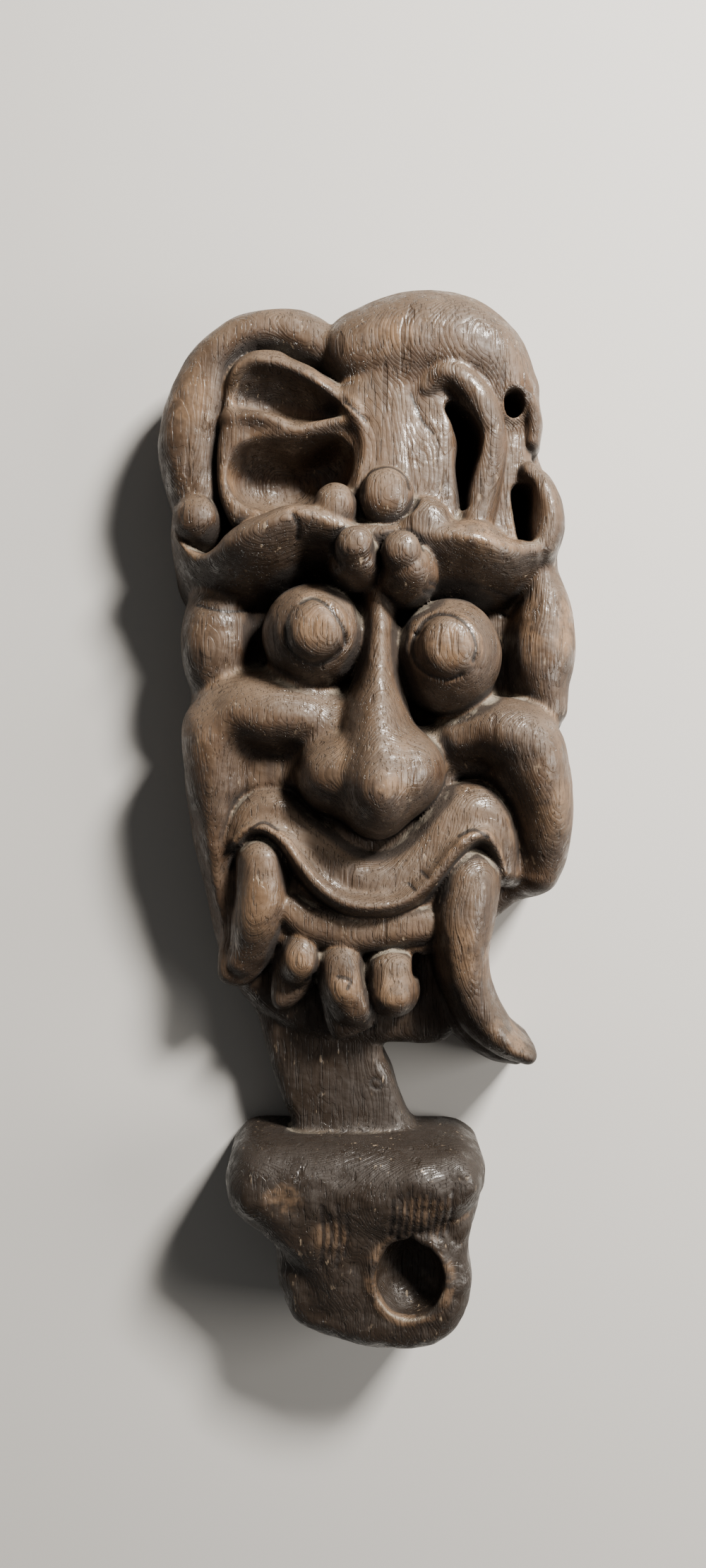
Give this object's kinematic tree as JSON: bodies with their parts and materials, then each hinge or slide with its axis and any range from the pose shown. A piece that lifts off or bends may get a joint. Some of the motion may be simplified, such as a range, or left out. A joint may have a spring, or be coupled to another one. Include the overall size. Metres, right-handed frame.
{
  "type": "carved wooden mask",
  "caption": "Carved wooden demon mask with scooped crest, bulging eyes, rolled lip and fangs, on a neck and base block; solid ornament with a flat back.",
  "frame": {"origin": "centre of the bounding box on the flat back", "axes": "+X across the face to the viewer's right, +Y up the face from the base block to the crown, +Z out of the flat back through the nose"},
  "size_m": [0.1768, 0.436, 0.086],
  "materials": {
    "carved_wood": "old waxed surface, worn brown on the high edges, with pale dust in the creases"
  },
  "bodies": {
    "root": {"carved_mask": "carved_wood"}
  },
  "joints": []
}
